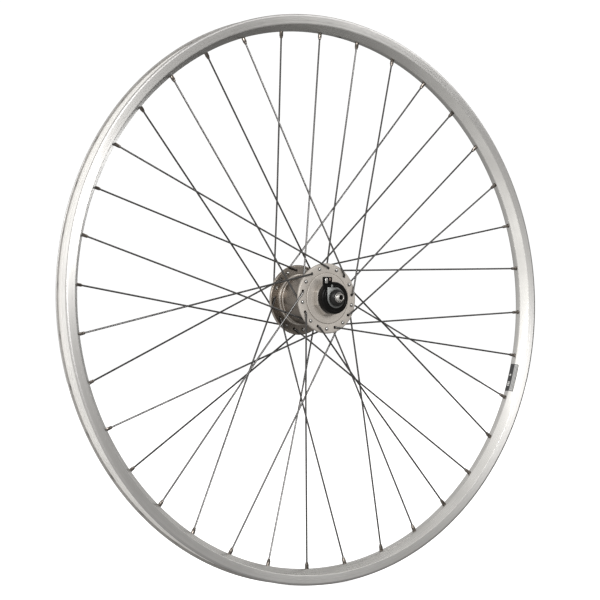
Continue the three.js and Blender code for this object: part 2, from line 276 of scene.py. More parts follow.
# ---- materials ------------------------------------------------------------------------------
class Finish:
    """A Principled material with short helpers for its nodes."""

    def __init__(self, name, metallic, **sockets):
        self.mat = bpy.data.materials.new(name)
        self.mat.use_nodes = True
        self.tree = self.mat.node_tree
        self.bsdf = self.tree.nodes["Principled BSDF"]
        self.bsdf.inputs["Metallic"].default_value = metallic
        for socket, value in sockets.items():
            self.bsdf.inputs[socket.replace("_", " ")].default_value = value
        self.place = self.add("ShaderNodeTexCoord").outputs["Object"]

    def add(self, kind, **settings):
        node = self.tree.nodes.new(kind)
        for key, value in settings.items():
            setattr(node, key, value)
        return node

    def link(self, source, target):
        self.tree.links.new(source, target)

    def feed(self, node, *values):
        for k, value in enumerate(values):
            if isinstance(value, bpy.types.NodeSocket):
                self.link(value, node.inputs[k])
            elif value is not None:
                node.inputs[k].default_value = value
        return node

    def calc(self, operation, *values):
        return self.feed(self.add("ShaderNodeMath", operation=operation), *values).outputs[0]

    def noise(self, scale, detail=3.0, rough=0.55, vector=None):
        node = self.add("ShaderNodeTexNoise")
        self.link(vector or self.place, node.inputs["Vector"])
        node.inputs["Scale"].default_value = scale
        node.inputs["Detail"].default_value = detail
        node.inputs["Roughness"].default_value = rough
        return node.outputs["Fac"]

    def radius(self):
        """Distance from the axle, in metres."""
        part = self.feed(self.add("ShaderNodeSeparateXYZ"), self.place)
        x2 = self.calc("MULTIPLY", part.outputs[0], part.outputs[0])
        z2 = self.calc("MULTIPLY", part.outputs[2], part.outputs[2])
        return self.calc("SQRT", self.calc("ADD", x2, z2))

    def lines(self, per_metre):
        """Lines left by turning: noise that only changes with radius and along the axle."""
        part = self.feed(self.add("ShaderNodeSeparateXYZ"), self.place)
        spot = self.add("ShaderNodeCombineXYZ")
        self.feed(spot, self.radius(), part.outputs[1], 0.0)
        return self.noise(per_metre, 3.0, 0.6, spot.outputs[0])

    def ramp(self, value, *stops):
        node = self.add("ShaderNodeValToRGB")
        self.link(value, node.inputs[0])
        marks = node.color_ramp.elements
        while len(marks) < len(stops):
            marks.new(0.5)
        for mark, (at, colour) in zip(marks, stops):
            mark.position = at
            mark.color = (*colour, 1) if hasattr(colour, "__len__") else (colour,) * 3 + (1,)
        return node.outputs["Color"]

    def span(self, value, low, high):
        """Maps noise (mostly 0.3 to 0.7) to a range."""
        node = self.add("ShaderNodeMapRange")
        self.feed(node, value, 0.3, 0.7, low, high)
        return node.outputs[0]

    def blend(self, factor, a, b):
        node = self.add("ShaderNodeMix", data_type="RGBA")
        for socket, value in zip((node.inputs[0], node.inputs[6], node.inputs[7]), (factor, a, b)):
            if isinstance(value, bpy.types.NodeSocket):
                self.link(value, socket)
            else:
                socket.default_value = (*value, 1) if hasattr(value, "__len__") else value
        return node.outputs[2]

    def bump(self, height, depth):
        """Raised by height (0 to 1) times depth in millimetres."""
        node = self.add("ShaderNodeBump")
        node.inputs["Strength"].default_value = 1.0
        node.inputs["Distance"].default_value = depth * MM
        self.link(height, node.inputs["Height"])
        self.link(node.outputs[0], self.bsdf.inputs["Normal"])

    def colour(self, value):
        self.link(value, self.bsdf.inputs["Base Color"])

    def roughness(self, value):
        self.link(value, self.bsdf.inputs["Roughness"])


def metal(name, light, dark, rough, grain=1400, patch=60, depth=0.006, lines=0, metallic=1.0,
          **sockets):
    """Metal whose tone and gloss wander over it, with fine grain or turning lines."""
    f = Finish(name, metallic, **sockets)
    fine = f.lines(lines) if lines else f.noise(grain, 4.0, 0.6)
    wide = f.noise(patch, 4.0, 0.6)
    tone = f.blend(f.span(wide, 0.0, 1.0), light, dark)
    shade = f.blend(f.span(fine, 0.0, 0.45), tone, dark)
    f.colour(shade)
    mean = f.calc("ADD", f.span(fine, rough[0], rough[1]), f.span(wide, -0.03, 0.03))
    f.roughness(mean)
    f.bump(fine, depth)
    return f


def plastic(name, light, dark, rough, grain=900, depth=0.01, **sockets):
    """Moulded plastic or rubber: fine skin texture, faint scuffs and dust."""
    f = Finish(name, 0.0, **sockets)
    skin = f.noise(grain, 3.0, 0.6)
    dust = f.noise(130, 6.0, 0.7)
    f.colour(f.blend(f.span(dust, 0.0, 1.0), light, dark))
    f.roughness(f.calc("ADD", f.span(skin, rough[0], rough[1]), f.span(dust, -0.04, 0.04)))
    f.bump(skin, depth)
    return f


SILVER = (0.80, 0.79, 0.765)
SILVER_DARK = (0.64, 0.63, 0.61)

rim_body = metal("rim_satin_aluminium", SILVER, SILVER_DARK, (0.22, 0.34), lines=1100, patch=22,
                 depth=0.004)
rim_lip = metal("rim_lip_aluminium", (0.56, 0.55, 0.54), (0.48, 0.47, 0.46), (0.30, 0.40),
                lines=1600, depth=0.004)
rim_channel = metal("rim_channel_aluminium", (0.92, 0.91, 0.89), (0.84, 0.83, 0.81), (0.5, 0.62),
                    lines=500, patch=30, depth=0.006, metallic=0.1)


def brake_track():
    """Machined braking surface: close turned lines that stretch highlights across the track."""
    f = Finish("rim_brake_track", 1.0, Anisotropic=0.9, Anisotropic_Rotation=0.25)
    turn = f.add("ShaderNodeTangent", direction_type="RADIAL", axis="Y")
    f.link(turn.outputs[0], f.bsdf.inputs["Tangent"])
    fine = f.lines(2600)
    broad = f.lines(420)
    wide = f.noise(14, 4.0, 0.6)
    tone = f.blend(f.span(wide, 0.0, 1.0), (0.80, 0.79, 0.77), (0.72, 0.71, 0.69))
    cut = f.blend(f.span(fine, 0.0, 0.7), tone, (0.52, 0.51, 0.50))
    f.colour(f.blend(f.span(broad, 0.0, 0.4), cut, (0.60, 0.59, 0.57)))
    f.roughness(f.calc("ADD", f.span(fine, 0.40, 0.52), f.span(wide, -0.03, 0.03)))
    f.bump(fine, 0.012)
    return f


rim_track = brake_track()

spoke_wire = metal("spoke_stainless", (0.135, 0.132, 0.129), (0.10, 0.098, 0.096), (0.13, 0.15),
                   grain=300, patch=35, depth=0.001)
# Bright finish for the tip of each spoke head: a painted highlight on the dome. The rest of the head
# keeps the dark wire finish.
spoke_head_painted_highlight = metal("spoke_head_painted_highlight", (0.72, 0.71, 0.69), (0.60, 0.59, 0.57), (0.2, 0.3), grain=900)
nipple_plate = metal("nipple_nickel", (0.27, 0.24, 0.215), (0.13, 0.115, 0.10), (0.12, 0.2),
                     grain=1500, patch=220, depth=0.004)
# Near-black finish for the walls of the spoke holes in both flanges: painted shade inside the holes,
# not the metal's own colour.
painted_shade_in_holes = metal("flange_hole_painted_shade", (0.030, 0.028, 0.026), (0.015, 0.014, 0.013),
                      (0.5, 0.65), grain=900, metallic=0.5)
milled_flat = metal("milled_flat_metal", (0.84, 0.81, 0.77), (0.74, 0.71, 0.67), (0.2, 0.3),
                    grain=1200)
cover_paint = metal("cover_silver_paint", (0.49, 0.455, 0.415), (0.40, 0.37, 0.335), (0.42, 0.58),
                    grain=1700, patch=55, depth=0.03, metallic=0.45)
shell_paint = metal("shell_grey_paint", (0.34, 0.30, 0.262), (0.26, 0.23, 0.20), (0.24, 0.34),
                    grain=1500, patch=60, depth=0.012, metallic=1.0)
shell_bead = metal("shell_bead_metal", (0.66, 0.62, 0.57), (0.52, 0.48, 0.44), (0.18, 0.28),
                   lines=1800, metallic=0.95)
magnet_mat = metal("magnet_ferrite", (0.09, 0.09, 0.10), (0.05, 0.05, 0.055), (0.45, 0.65),
                   grain=1100, depth=0.02, metallic=0.3)
hard_steel = metal("hardened_steel", (0.58, 0.58, 0.59), (0.42, 0.42, 0.43), (0.2, 0.32),
                   lines=1500)
ball_steel = metal("bearing_steel", (0.72, 0.72, 0.73), (0.6, 0.6, 0.61), (0.08, 0.16), grain=900)
axle_steel = metal("axle_steel", (0.56, 0.55, 0.53), (0.40, 0.39, 0.37), (0.18, 0.3), lines=1500)
# Near-black finish for the inside of the hollow axle: painted shade in the bore.
painted_shade_bore = metal("bore_painted_shade_metal", (0.05, 0.048, 0.045), (0.02, 0.02, 0.019), (0.35, 0.5),
                  lines=1500, metallic=0.6)
nut_steel = metal("nut_steel", (0.48, 0.47, 0.45), (0.34, 0.33, 0.32), (0.18, 0.28), lines=1500)
plate_zinc = metal("lock_plate_zinc", (0.19, 0.195, 0.19), (0.13, 0.134, 0.13), (0.34, 0.48),
                   grain=1300, patch=180, depth=0.01, metallic=0.9)
black_nut = metal("blackened_nut", (0.022, 0.022, 0.021), (0.010, 0.010, 0.010), (0.24, 0.4),
                  lines=1500, metallic=0.3, Specular_IOR_Level=0.18)
tin = metal("terminal_tin", (0.68, 0.67, 0.64), (0.52, 0.51, 0.49), (0.16, 0.28), grain=1500)
earth = metal("terminal_brass", (0.38, 0.30, 0.265), (0.24, 0.185, 0.16), (0.3, 0.45), grain=1500,
              patch=300)
copper = metal("copper_wire", (0.62, 0.27, 0.12), (0.42, 0.16, 0.07), (0.22, 0.36), lines=2600,
               depth=0.08)
iron = metal("pole_iron", (0.30, 0.30, 0.31), (0.18, 0.18, 0.185), (0.34, 0.5), grain=1300)
black_plastic = plastic("connector_black", (0.003, 0.003, 0.0028), (0.006, 0.0058, 0.0055),
                        (0.14, 0.22), Specular_IOR_Level=0.1)
inner_plastic = plastic("bobbin_plastic", (0.03, 0.03, 0.032), (0.05, 0.05, 0.05), (0.45, 0.6))
rubber = plastic("seal_rubber", (0.018, 0.018, 0.019), (0.035, 0.034, 0.033), (0.6, 0.8),
                 depth=0.02)


def foil_label():
    """Dark printed band on the bed and a pale framed panel on the slope, no lettering."""
    f = Finish("rim_label_foil", 0.1)
    part = f.feed(f.add("ShaderNodeSeparateXYZ"), f.place)
    angle = f.calc("ARCTAN2", part.outputs[2], part.outputs[0])
    from_middle = f.calc("ADD", angle, math.radians(360 - LABEL_MIDDLE))
    along = f.calc("MULTIPLY", from_middle, BED_R + 0.7)
    across = f.calc("MULTIPLY", part.outputs[1], 1 / MM)
    fold = -3.9

    def inside(value, low, high):
        return f.calc("MULTIPLY", f.calc("GREATER_THAN", value, low),
                      f.calc("LESS_THAN", value, high))

    def patch(a0, a1, c0, c1):
        """One where the foil is between a0 and a1 along the rim and c0 and c1 across it, in mm."""
        return f.calc("MULTIPLY", inside(along, a0, a1), inside(across, c0, c1))

    paper = f.blend(f.noise(700, 3.0), (0.42, 0.42, 0.41), (0.34, 0.34, 0.33))
    ink = f.blend(f.noise(500, 3.0), (0.030, 0.030, 0.031), (0.055, 0.055, 0.055))
    on_bed = f.calc("GREATER_THAN", across, fold)
    base = f.blend(on_bed, paper, ink)
    marks = patch(2.2, 4.4, -1.6, 1.0)
    for start in (-10.4, -8.4, -6.4):
        marks = f.calc("MAXIMUM", marks, patch(start, start + 1.2, -2.4, 1.6))
    base = f.blend(marks, base, (0.72, 0.72, 0.70))
    frame_out = patch(-16.5, 16.5, -8.0, fold)
    frame_in = patch(-15.6, 15.6, -7.1, -4.2)
    outline = f.calc("SUBTRACT", frame_out, frame_in)
    stripes = f.calc("MAXIMUM", patch(-14.2, 14.2, -6.5, -6.1), patch(-14.2, 14.2, -5.3, -4.9))
    printed = f.calc("MAXIMUM", outline, stripes)
    f.colour(f.blend(printed, base, (0.10, 0.10, 0.10)))
    f.roughness(f.span(f.noise(300, 3.0), 0.28, 0.42))
    f.bump(f.noise(900, 3.0), 0.006)
    return f


label_foil = foil_label()


def finish_piece(obj, body, slot, finishes, *nodes):
    """Gives a piece its materials and body and hides the CAD nodes that it stands for. slot is not
    used.
    """
    finishes = finishes if isinstance(finishes, (list, tuple)) else [finishes]
    obj.data.materials.clear()
    for f in finishes:
        obj.data.materials.append(f.mat)
    if len(finishes) == 1:
        for p in obj.data.polygons:
            p.material_index = 0
    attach(obj, body)
    if nodes:
        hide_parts(*nodes)
    return obj


# ---- spoke lines, as in the frame -------------------------------------------------------------
# side is +1 or -1 along Y for the way the wire leaves the flange, over run millimetres; then it goes
# from hole to cross to rim_end, the last stretch in the direction along.
Spoke = namedtuple("Spoke", "side run hole cross rim_end along rim_angle")


def spoke_line(i):
    """Path of spoke i. Even ones start at the right flange, and 1, 2, 5, 6 ... are the outer ones."""
    right = i % 2 == 0
    outer = i % 4 in (1, 2)
    rim_angle = FIRST_SPOKE + SPOKE_STEP * (i - 1)
    lead = -CROSS_ANGLE if i % 4 in (2, 3) else CROSS_ANGLE
    out = -1 if right else 1
    side = out if outer else -out
    run = OUTER_RUN if outer else INNER_RUN
    hole = on_wheel(HOLE_CIRCLE, rim_angle + lead, RIGHT_FLANGE_Y if right else LEFT_FLANGE_Y)
    rim_end = on_wheel(BED_R + 0.5, rim_angle, out * 0.2)
    cross = hole.lerp(rim_end, CROSS_AT) + Vector((0, side * CROSS_HALF, 0))
    along = (rim_end - cross).normalized()
    return Spoke(side, run, hole, cross, rim_end, along, rim_angle)


def make_spoke(i):
    """Wire with a domed head whose tip carries a painted highlight, an elbow at the flange and a
    slight bend where it crosses another.
    """
    behind, elbow, bend, into_nipple = 1.3, 1.75, 9.0, 4.5
    spoke = spoke_line(i)
    hole = spoke.hole
    y = Vector((0, spoke.side, 0))
    line = fillet([(hole - y * behind, 0), (hole + y * spoke.run, spoke.run - elbow),
                   (spoke.cross, bend), (spoke.rim_end - spoke.along * into_nipple, 0)],
                  steps=7, closed=False)
    head = [(3.0, 0.7), (2.95, 1.3), (2.75, 1.72), (2.45, 1.93), (2.15, 1.98), (1.95, 1.9),
            (1.75, 1.5), (1.5, 1.1)]
    rings = [(hole - y * at, y, r) for at, r in head]
    for k, p in enumerate(line):
        before = line[k - 1] if k else p - y
        after = line[k + 1] if k + 1 < len(line) else p + spoke.along
        d = ((p - before).normalized() + (after - p).normalized()).normalized()
        rings.append((p, d, WIRE_R))
    name = f"spoke_wire_{i:02d}"
    wire = tube(name, rings)
    finish_piece(wire, "wheel", "spoke_steel", [spoke_wire, spoke_head_painted_highlight], f"spoke_{i:02d}")
    # The tip of the head, furthest behind the hole, gets the bright head finish: a painted highlight
    # on the dome.
    painted_highlight_from, painted_highlight_reach = 2.9, 4.0
    for p in wire.data.polygons:
        off = p.center / MM - hole
        p.material_index = 1 if off.dot(y) < -painted_highlight_from and off.length < painted_highlight_reach else 0


def make_nipple(i):
    """Plated brass nipple: round seat inside the rim, square shank for the key, round nose."""
    spoke = spoke_line(i)
    shape = [(-7.9, 1.25), (-7.75, 1.5), (-7.3, 1.62), (-6.2, 1.72), (-5.6, 2.0), (-5.4, 2.15),
             (-1.0, 2.2), (-0.6, 2.0), (2.0, 2.0), (2.7, 2.7), (3.4, 3.0), (4.1, 2.8), (4.4, 2.2),
             (4.4, 1.2)]
    rings = [(spoke.rim_end + spoke.along * at, spoke.along, r) for at, r in shape]
    nipple = tube(f"nipple_{i:02d}", rings, sides=24, flats={4: 1.62, 5: 1.66, 6: 1.68, 7: 1.8})
    finish_piece(nipple, "wheel", "spoke_steel", nipple_plate, f"spoke_{i:02d}")


# ---- rim --------------------------------------------------------------------------------------
def rim_finish(face):
    """Number of the finish that a face of the rim takes: body, brake track, lip or tyre channel."""
    r, y = face_place(face)
    track_foot, track_top = 306.3, 314.6
    if abs(y) > RIM_HALF - 0.2 and track_foot < r < track_top:
        return 1
    if r >= track_top and abs(y) > 9.6:
        return 2
    if r > WELL_R - 2 and abs(y) < 10.6:
        return 3
    return 0


def make_rim():
    """Double-wall rim: brake tracks with a wear groove, hooked lips, well, chamber and drillings."""
    half = [
        (BED_R, -3.5, 0.7), (305.9, -11.5, 0.4), (306.2, -11.5), (306.5, -RIM_HALF, 0.1),
        (309.4, -RIM_HALF), (309.6, -RIM_HALF + 0.16), (309.8, -RIM_HALF), (314.7, -RIM_HALF, 0.5),
        (316.2, -11.75, 0.5), (RIM_R, -11.0, 0.7), (RIM_R, -10.3, 0.5), (316.3, -9.7, 0.4),
        (313.2, -10.3, 0.8), (SEAT_R, -10.3, 0.6), (SEAT_R, -7.0, 0.6), (WELL_R, -5.2, 0.8),
    ]
    section = half + [(c[0], -c[1], *c[2:]) for c in reversed(half)]
    rim = turned("rim_extrusion", section, segments=360, steps=3, sharp=28)
    inner = [(BED_R + 1.5, -3.0), (306.6, -10.3), (SEAT_R - 1.5, -10.3), (WELL_R - 1.5, -5.4)]
    chamber = turned("chamber", inner + [(r, -y) for r, y in reversed(inner)], segments=360)
    combine(rim, chamber, "DIFFERENCE")
    holes = []
    for i in range(1, SPOKES + 1):
        spoke = spoke_line(i)
        holes.append((spoke.rim_end - spoke.along * 3, spoke.rim_end + spoke.along * 2.6,
                      NIPPLE_HOLE_R))
        holes.append((on_wheel(WELL_R - 2.5, spoke.rim_angle, 0),
                      on_wheel(WELL_R + 2, spoke.rim_angle, 0), KEY_HOLE_R))
    for wall in (BED_R, WELL_R):
        holes.append((on_wheel(wall - 3, VALVE_ANGLE, 0), on_wheel(wall + 3, VALVE_ANGLE, 0),
                      VALVE_HOLE_R))
    combine(rim, drills("rim_drills", holes, 24), "DIFFERENCE")
    finish_piece(rim, "wheel", "rim_aluminium", [rim_body, rim_track, rim_lip, rim_channel], "rim")
    for p in rim.data.polygons:
        p.material_index = rim_finish(p)


def make_label():
    """Foil folded from the spoke bed onto the slope, a fraction of a millimetre thick."""
    section = [(BED_R - 0.12, 3.1), (BED_R - 0.12, -3.4), (BED_R + 3.42, -7.65),
               (BED_R + 3.22, -7.8), (BED_R - 0.34, -3.55), (BED_R - 0.34, 3.1)]
    steps = 24
    n = len(section)
    verts, faces = [], []
    for s in range(steps + 1):
        degrees = LABEL_MIDDLE + LABEL_SPAN * (s / steps - 0.5)
        verts += [on_wheel(r, degrees, y) for r, y in section]
    for s in range(steps):
        for k in range(n):
            m = (k + 1) % n
            faces.append((s * n + k, s * n + m, (s + 1) * n + m, (s + 1) * n + k))
    faces.append(tuple(range(n)))
    faces.append(tuple(reversed(range(steps * n, (steps + 1) * n))))
    label = build("rim_label_print", verts, faces)
    finish_piece(label, "wheel", "label_foil", label_foil, "rim_label")


make_rim()
make_label()
for number in range(1, SPOKES + 1):
    make_spoke(number)
    make_nipple(number)


# ---- hub shell and cover ------------------------------------------------------------------------
def flange_drills(first, flange_y):
    """Cutters for one flange's spoke holes."""
    holes = []
    for i in range(first, SPOKES + 1, 2):
        spoke = spoke_line(i)
        to_rim = spoke.cross - spoke.hole
        to_rim.y = 0
        at = Vector((spoke.hole.x, flange_y, spoke.hole.z)) - to_rim.normalized() * FLANGE_HOLE_SHIFT
        past = Vector((0, FLANGE_T / 2 + 0.9, 0))
        holes.append((at - past, at + past, FLANGE_HOLE_R))
    return drills("flange_drills", holes, 20)


def in_spoke_hole(face, flange_y):
    """True for the wall faces of the holes drilled through a flange."""
    r, y = face_place(face)
    on_circle = abs(r - HOLE_CIRCLE) < FLANGE_HOLE_R + FLANGE_HOLE_SHIFT + 0.1
    return on_circle and abs(y - flange_y) < FLANGE_T / 2 - 0.05 and abs(face.normal.y) < 0.3


def make_shell():
    """Barrel with two beads, the left spoke flange and the left bearing seat."""
    inner_face = LEFT_FLANGE_Y - FLANGE_T / 2
    outer_face = LEFT_FLANGE_Y + FLANGE_T / 2
    shell = turned("hub_shell_body", [
        (25.6, -23.0), (27.1, -23.05, 0.2), (27.5, -22.6, 0.2),
        (27.5, 19.4, 0.2), (28.35, 19.7, 0.35), (28.35, 20.75, 0.35), (27.5, 21.05, 0.2),
        (27.5, 24.4, 0.2), (28.85, 24.8, 0.4), (28.85, 26.0, 0.4), (28.3, 26.4, 0.3),
        (28.5, inner_face, 0.5),
        (38.4, inner_face, 0.5), (39.5, inner_face + 1.1, 0.9), (39.5, outer_face - 1.1, 0.9),
        (38.4, outer_face, 0.5), (31.0, outer_face, 0.8), (18.2, 33.8, 1.5), (17.0, 35.0, 0.8),
        (16.6, 40.0, 0.5), (13.6, 40.0, 0.3), (13.6, 31.6), (12.0, 31.6), (12.0, 30.0),
        (25.6, 27.0),
    ], segments=144)
    combine(shell, flange_drills(1, LEFT_FLANGE_Y), "DIFFERENCE")
    finish_piece(shell, "wheel", "shell_metal", [shell_paint, shell_bead, painted_shade_in_holes],
                 "hub_shell")
    for p in shell.data.polygons:
        r, y = face_place(p)
        bead = 27.9 < r < 29.0 and 19.3 < y < 26.3
        edge = r > 39.3
        p.material_index = 1 if bead or edge else 0
        # Walls of the spoke holes take the near-black painted shade.
        if in_spoke_hole(p, LEFT_FLANGE_Y):
            p.material_index = 2


def octagon(apothem):
    """Outline of the spanner boss, with slightly rounded corners."""
    corner = apothem / math.cos(math.pi / 8)
    points = [(corner * math.cos(a), corner * math.sin(a))
              for a in (math.pi / 8 + k * math.pi / 4 for k in range(8))]
    return fillet([(p, 0.9) for p in points], 4)


def make_cover():
    """Right cover with its spoke flange, the octagonal boss and the right bearing seat."""
    inner_face = RIGHT_FLANGE_Y + FLANGE_T / 2
    outer_face = RIGHT_FLANGE_Y - FLANGE_T / 2
    cover = turned("right_cover_body", [
        (13.6, -26.2), (13.6, -27.35), (19.0, -27.0, 1.5), (27.3, -27.45, 0.3), (27.8, -27.2, 0.1),
        (27.8, -26.1), (28.3, -26.1), (28.4, outer_face, 0.2), (37.9, outer_face, 0.6),
        (39.0, outer_face + 1.1, 0.9), (39.0, inner_face - 1.1, 0.9), (37.9, inner_face, 0.6),
        (25.3, inner_face), (25.3, -19.5), (23.9, -19.5), (23.9, inner_face),
        (12.0, inner_face), (12.0, -24.9), (13.6, -24.9),
    ], segments=144)
    boss = slab("boss", octagon(OCT_APOTHEM), -33.6, -26.0, bevel=0.5, steps=3)
    bore = drills("bore", [(Vector((0, -35, 0)), Vector((0, -24, 0)), 13.6)], 96)
    combine(cover, boss, "UNION")
    combine(cover, bore, "DIFFERENCE")
    combine(cover, flange_drills(2, RIGHT_FLANGE_Y), "DIFFERENCE")
    finish_piece(cover, "wheel", "cover_metal", [cover_paint, painted_shade_in_holes, milled_flat],
                 "right_cover")
    for p in cover.data.polygons:
        r, y = face_place(p)
        boss_side = OCT_APOTHEM - 0.6 < r < OCT_APOTHEM + 2
        p.material_index = 0
        # Walls of the spoke holes take the near-black painted shade.
        if in_spoke_hole(p, RIGHT_FLANGE_Y):
            p.material_index = 1
        elif boss_side and -33.0 < y < -27.6 and abs(p.normal.y) < 0.3:
            p.material_index = 2


make_shell()
make_cover()


# ---- bearings and generator parts ---------------------------------------------------------------
def make_bearing(label, balls_y, out, tail, body):
    """Cup, cone and ball set. out is the outward way along Y, tail how far out the cone reaches."""
    def at(points):
        return [(p[0], balls_y + out * p[1], *p[2:]) for p in points]

    race = [(13.2, 3.1, 0.2), (11.85, 3.1, 0.2), (11.85, -0.4, 0.9), (10.0, -3.1, 0.8),
            (8.2, -3.1, 0.2), (8.2, -4.3, 0.2), (13.2, -4.3, 0.3)]
    cup = turned(f"{label}_cup", at(race), 72)
    finish_piece(cup, "wheel", "hardened_steel", hard_steel, f"{label}_bearing_cup")
    inner = CONE_END - out * balls_y
    seat = [(STEM, tail), (8.3, tail, 0.4), (8.3, 2.95, 0.3), (7.1, 2.3, 0.6), (6.0, 0.8, 0.8),
            (6.0, inner, 0.2), (STEM, inner)]
    cone = turned(f"{label}_cone_piece", at(seat), 72)
    finish_piece(cone, "axle_group", "hardened_steel", hard_steel, f"{label}_cone")
    cage = turned(f"{label}_retainer", at([(8.2, -0.6, 0.1), (9.6, -0.6, 0.1), (9.6, 0.6, 0.1),
                                           (8.2, 0.6, 0.1)]), 72)
    bm = bmesh.new()
    bm.from_mesh(cage.data)
    for k in range(BALLS):
        centre = on_wheel(BALL_PITCH_R, k * 360 / BALLS, balls_y) * MM
        made = bmesh.ops.create_uvsphere(bm, u_segments=20, v_segments=12, radius=BALL_R * MM)
        bmesh.ops.translate(bm, verts=made["verts"], vec=centre)
    bm.to_mesh(cage.data)
    bm.free()
    soften(cage)
    finish_piece(cage, body, "bearing_ball", ball_steel, f"{label}_ball_ring")


make_bearing("right", RIGHT_BALLS_Y, -1, 4.3, "right_balls")
make_bearing("left", LEFT_BALLS_Y, 1, 7.8, "left_balls")


def simple(name, corners, body, slot, finish, node):
    """A piece that is only turned."""
    finish_piece(turned(name, corners), body, slot, finish, node)


simple("magnet_sleeve", [(22.3, -19.1, 0.2), (25.2, -19.1, 0.2), (25.2, 19.5, 0.2),
                         (22.3, 19.5, 0.2)], "wheel", "magnet", magnet_mat, "magnet_ring")
simple("right_seal", [(8.9, -33.4, 0.1), (13.15, -33.4, 0.15), (13.15, -32.9, 0.1),
                      (8.9, -32.9, 0.1)], "wheel", "seal_rubber", rubber, "right_dust_seal")
simple("left_cap", [(8.9, 40.4, 0.1), (8.9, 41.4, 0.2), (15.4, 41.4, 0.5), (16.2, 40.8, 0.3),
                    (16.2, 40.3, 0.1), (13.1, 40.3), (13.1, 39.6, 0.1), (12.5, 39.6, 0.1),
                    (12.5, 40.4)], "wheel", "seal_rubber", rubber, "left_dust_cap")
simple("bobbin", [(STEM, -13.4), (18.6, -13.4, 0.3), (18.6, -12.4, 0.3), (8.0, -12.4, 0.2),
                  (8.0, 12.4, 0.2), (18.6, 12.4, 0.3), (18.6, 13.4, 0.3), (STEM, 13.4)],
       "axle_group", "black_plastic_inner", inner_plastic, "coil_bobbin")
simple("winding", [(8.4, -12.1, 0.2), (18.2, -12.1, 0.4), (18.2, 12.1, 0.4), (8.4, 12.1, 0.2)],
       "axle_group", "copper", copper, "coil_winding")


# ---- axle, connector and nuts ---------------------------------------------------------------------
def make_axle():
    """Hollow axle with a rolled thread on both ends."""
    pitch, depth, turns = 1.0, 0.5, 9
    start = AXLE_END - 0.9
    outside = []
    for k in range(turns):
        at = start - k * pitch
        outside += [(AXLE_R, at), (AXLE_R - depth, at - pitch * 0.5)]
    outside.append((AXLE_R, start - turns * pitch))
    far = [(AXLE_BORE_R, AXLE_END - 0.4, 0.0), (3.0, AXLE_END, 0.2), (3.8, AXLE_END, 0.2)] + outside
    near = [(c[0], -c[1], *c[2:]) for c in reversed(far)]
    axle = turned("axle_tube", far + near, 64, sharp=50)
    finish_piece(axle, "axle_group", "axle_steel", [axle_steel, painted_shade_bore], "axle")
    # Faces inside the bore take the near-black painted shade.
    for p in axle.data.polygons:
        r, _ = face_place(p)
        p.material_index = 1 if r < AXLE_BORE_R + 0.02 else 0


def rounded_box(name, x0, x1, y0, y1, z0, z1, bevel):
    return slab(name, [(x0, z0), (x1, z0), (x1, z1), (x0, z1)], y0, y1, bevel, steps=3)


def make_connector():
    """Round black cap with a raised block, in which two slots hold the terminals."""
    cap = turned("connector_cap", [
        (STEM, -34.0), (17.5, -34.0, 0.3), (17.8, -34.6, 0.2), (17.8, -41.9, 1.9),
        (14.7, -42.05, 0.2), (14.4, -41.8, 0.1), (14.0, -41.8, 0.1), (13.7, -42.1, 0.2),
        (STEM, -42.1),
    ], 128, steps=6)
    combine(cap, rounded_box("neck", -15.6, -4.8, -42.0, -39.4, 8.5, 22.7, 0.5), "UNION")
    combine(cap, rounded_box("block", -15.6, -4.8, -43.0, -39.5, 14.75, 22.8, 0.4), "UNION")
    combine(cap, rounded_box("slot_a", -14.4, -9.5, -44.0, -40.2, 15.3, 22.0, 0.15), "DIFFERENCE")
    combine(cap, rounded_box("slot_b", -8.6, -5.5, -44.0, -40.6, 18.3, 22.0, 0.15), "DIFFERENCE")
    finish_piece(cap, "axle_group", "connector_plastic", black_plastic, "connector_body")


def make_terminals():
    """The two blades that the lamp cable's plug pushes onto."""
    blade = [(-13.9, 15.6), (-10.0, 15.6), (-10.0, 20.4), (-10.6, 21.4), (-11.9, 21.7),
             (-13.3, 21.4), (-13.9, 20.4)]
    live = slab("live_blade", blade, -42.6, -40.5, 0.35, 3)
    finish_piece(live, "axle_group", "terminal_metal", tin, "live_terminal")
    ground = rounded_box("earth_blade", -8.2, -5.9, -42.4, -40.9, 18.6, 21.6, 0.3)
    finish_piece(ground, "axle_group", "earth_metal", earth, "earth_terminal")


def make_lock_plate():
    """Washer with one square corner and a tab that keys into the connector."""
    radius = 11.4
    round_part = [(radius * math.cos(math.radians(a)), radius * math.sin(math.radians(a)))
                  for a in range(180, 451, 5)]
    outline = round_part + [(-3.9, 11.4), (-3.9, 14.4), (-6.3, 14.4), (-6.3, 11.4), (-10.9, 11.4),
                            (-11.4, 10.9)]
    plate = slab("lock_washer", outline, -43.5, -42.4, 0.18, 2)
    bore = drills("bore", [(Vector((0, -45, 0)), Vector((0, -41, 0)), STEM)], 64)
    combine(plate, bore, "DIFFERENCE")
    finish_piece(plate, "axle_group", "plate_steel", plate_zinc, "lock_plate")


